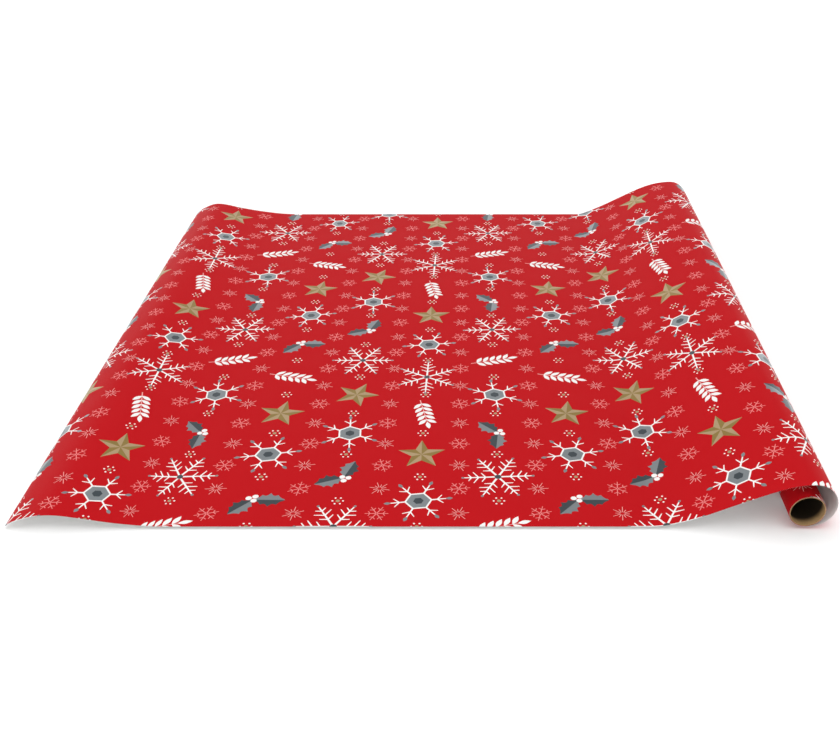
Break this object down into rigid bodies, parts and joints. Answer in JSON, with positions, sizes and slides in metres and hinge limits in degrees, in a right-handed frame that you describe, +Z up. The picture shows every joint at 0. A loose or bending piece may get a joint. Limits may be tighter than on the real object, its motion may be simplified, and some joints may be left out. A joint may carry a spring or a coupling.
{
  "type": "wrapping paper roll",
  "caption": "Roll of printed gift wrap on a cardboard core, with a length unrolled flat, a low arch at the free end and a loose outer turn.",
  "frame": {"origin": "on the table, under the middle of the whole object's box", "axes": "+X runs along the web from the free end to the roll, +Y along the roll's axis away from the viewer, +Z up from the table"},
  "size_m": [0.757, 0.762, 0.05],
  "materials": {
    "printed_paper": "satin coated, printed one side",
    "adhesive_strip": "matt",
    "chipboard": "matt"
  },
  "bodies": {
    "laid_sheet": {"sheet_free_end": "printed_paper", "sheet_middle": "printed_paper"},
    "loose_turn": {"outer_turn": "printed_paper"},
    "roll": {"wound_paper": "printed_paper", "start_strip": "adhesive_strip", "core_outer_ply": "chipboard", "core_middle_ply": "chipboard", "core_inner_ply": "chipboard"}
  },
  "joints": [
    {"name": "roll_travel", "type": "slide", "parent": "laid_sheet", "child": "loose_turn", "axis": [1, 0, 0], "range_m": [-0.3045, 0], "deforming": ["sheet_middle"]},
    {"name": "roll_spin", "type": "hinge", "parent": "loose_turn", "child": "roll", "pos_m": [0.35203, 0, 0.0171], "axis": [0, 1, 0], "range_deg": [0, 1046]}
  ],
  "couplings": [
    {"joint": "roll_spin", "follows": "roll_travel", "rad_per_m": -59.844}
  ]
}
